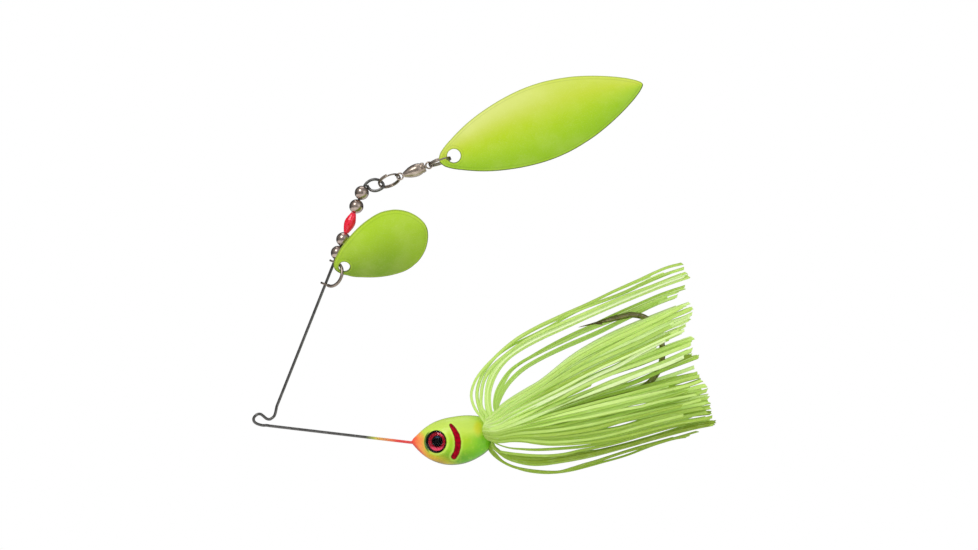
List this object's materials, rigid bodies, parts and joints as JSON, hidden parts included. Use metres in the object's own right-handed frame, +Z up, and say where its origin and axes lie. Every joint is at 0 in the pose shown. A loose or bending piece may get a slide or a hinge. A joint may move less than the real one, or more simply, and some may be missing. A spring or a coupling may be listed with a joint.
{
  "type": "spinnerbait",
  "caption": "Safety-pin fishing lure: bent wire arm with a painted lead head, a skirted hook, a clevis-hung spinner blade, a bead stack and a swivel-hung willow blade",
  "frame": {"origin": "centre of the round bend of the open line tie, in the plane of the bent wire", "axes": "+X runs from the line tie back towards the skirt tips, +Z is up towards the blade arm, +Y is the lure's right side; the whole wire form lies in the plane Y = 0"},
  "size_m": [0.1154, 0.0231, 0.0977],
  "materials": {
    "spring_wire": "satin",
    "painted_lead": "gloss",
    "bronzed_hook": "satin",
    "printed_foil": "gloss",
    "clear_resin": "gloss",
    "clear_band": "satin",
    "skirt_silicone": "satin",
    "nickel_wire": "polished",
    "nickel_bead": "polished",
    "swivel_metal": "polished",
    "ball_steel": "polished",
    "red_glass": "gloss",
    "blade_paint": "gloss",
    "willow_paint": "gloss"
  },
  "bodies": {
    "frame": {"wire_form": "spring_wire", "head": "painted_lead", "hook": "bronzed_hook", "eye_foil_left": "printed_foil", "eye_foil_right": "printed_foil", "eye_dome_left": "clear_resin", "eye_dome_right": "clear_resin", "skirt_collar": "clear_band"},
    "bead_4": {"bead_4": "nickel_bead"},
    "bead_3": {"bead_3": "nickel_bead"},
    "spindle_bead": {"spindle_bead": "red_glass"},
    "bead_2": {"bead_2": "nickel_bead"},
    "bead_1": {"bead_1": "nickel_bead"},
    "clevis": {"clevis": "nickel_wire"},
    "indiana_blade": {"indiana_blade": "blade_paint"},
    "split_ring_front": {"split_ring_front": "nickel_wire"},
    "swivel": {"swivel_fixed_eye": "swivel_metal", "swivel_barrel": "swivel_metal", "swivel_end_cap": "swivel_metal", "swivel_balls": "ball_steel"},
    "swivel_rotor": {"swivel_rotor": "swivel_metal"},
    "split_ring_rear": {"split_ring_rear": "nickel_wire"},
    "willow_blade": {"willow_blade": "willow_paint"},
    "skirt_top": {"skirt_top": "skirt_silicone"},
    "skirt_upper": {"skirt_upper": "skirt_silicone"},
    "skirt_near": {"skirt_near": "skirt_silicone"},
    "skirt_far": {"skirt_far": "skirt_silicone"},
    "skirt_bottom": {"skirt_bottom": "skirt_silicone"}
  },
  "joints": [
    {"name": "stack_slide", "type": "slide", "parent": "frame", "child": "bead_4", "axis": [0.3699, 0, 0.9291], "range_m": [-0.03, 0], "stiffness_N_per_m": 25},
    {"name": "bead_3_spin", "type": "hinge", "parent": "bead_4", "child": "bead_3", "pos_m": [0.0238, 0, 0.05185], "axis": [0.3699, 0, 0.9291], "continuous": true},
    {"name": "spindle_bead_spin", "type": "hinge", "parent": "bead_4", "child": "spindle_bead", "pos_m": [0.0222, 0, 0.04784], "axis": [0.3699, 0, 0.9291], "continuous": true},
    {"name": "bead_2_spin", "type": "hinge", "parent": "bead_4", "child": "bead_2", "pos_m": [0.0206, 0, 0.04383], "axis": [0.3699, 0, 0.9291], "continuous": true},
    {"name": "bead_1_spin", "type": "hinge", "parent": "bead_4", "child": "bead_1", "pos_m": [0.01929, 0, 0.04052], "axis": [0.3699, 0, 0.9291], "continuous": true},
    {"name": "clevis_spin", "type": "hinge", "parent": "bead_4", "child": "clevis", "pos_m": [0.01732, 0, 0.03557], "axis": [0.3699, 0, 0.9291], "continuous": true},
    {"name": "front_blade_swing", "type": "hinge", "parent": "clevis", "child": "indiana_blade", "pos_m": [0.02023, -0.00225, 0.03683], "axis": [0.2679, -0.5433, -0.7957], "range_deg": [-50, 40], "stiffness_Nm_per_rad": 0.02},
    {"name": "front_ring_swing", "type": "hinge", "parent": "frame", "child": "split_ring_front", "pos_m": [0.03036, 0, 0.057], "axis": [0, 0, 1], "range_deg": [-10, 35], "stiffness_Nm_per_rad": 0.05},
    {"name": "swivel_swing", "type": "hinge", "parent": "split_ring_front", "child": "swivel", "pos_m": [0.03434, 0, 0.05912], "axis": [-0.1847, -0.891, 0.4147], "range_deg": [-30, 30], "stiffness_Nm_per_rad": 0.1},
    {"name": "swivel_turn", "type": "hinge", "parent": "swivel", "child": "swivel_rotor", "pos_m": [0.03958, 0, 0.06114], "axis": [0.9336, 0, 0.3584], "continuous": true},
    {"name": "rear_ring_swing", "type": "hinge", "parent": "swivel_rotor", "child": "split_ring_rear", "pos_m": [0.04222, 0, 0.06214], "axis": [-0.3502, 0, 0.9367], "range_deg": [-35, 35], "stiffness_Nm_per_rad": 0.05},
    {"name": "willow_swing", "type": "hinge", "parent": "split_ring_rear", "child": "willow_blade", "pos_m": [0.04663, 0, 0.06379], "axis": [0, 1, 0], "range_deg": [-18, 40], "stiffness_Nm_per_rad": 0.1},
    {"name": "skirt_near_flare", "type": "hinge", "parent": "frame", "child": "skirt_near", "pos_m": [0.05867, 0, -0.00198], "axis": [0, 0, -1], "range_deg": [0, 12], "stiffness_Nm_per_rad": 0.02},
    {"name": "skirt_far_flare", "type": "hinge", "parent": "frame", "child": "skirt_far", "pos_m": [0.05867, 0, -0.00198], "axis": [0, 0, 1], "range_deg": [0, 12], "stiffness_Nm_per_rad": 0.02},
    {"name": "skirt_top_flare", "type": "hinge", "parent": "frame", "child": "skirt_top", "pos_m": [0.05867, 0, -0.00198], "axis": [0, -1, 0], "range_deg": [0, 12], "stiffness_Nm_per_rad": 0.02},
    {"name": "skirt_upper_flare", "type": "hinge", "parent": "frame", "child": "skirt_upper", "pos_m": [0.05867, 0, -0.00198], "axis": [0, -1, 0], "range_deg": [0, 12], "stiffness_Nm_per_rad": 0.02},
    {"name": "skirt_bottom_flare", "type": "hinge", "parent": "frame", "child": "skirt_bottom", "pos_m": [0.05867, 0, -0.00198], "axis": [0, 1, 0], "range_deg": [0, 12], "stiffness_Nm_per_rad": 0.02}
  ],
  "couplings": [
    {"joint": "skirt_far_flare", "follows": "skirt_near_flare", "ratio": 1},
    {"joint": "skirt_top_flare", "follows": "skirt_near_flare", "ratio": 0.9},
    {"joint": "skirt_upper_flare", "follows": "skirt_near_flare", "ratio": 0.6},
    {"joint": "skirt_bottom_flare", "follows": "skirt_near_flare", "ratio": 0.9}
  ]
}
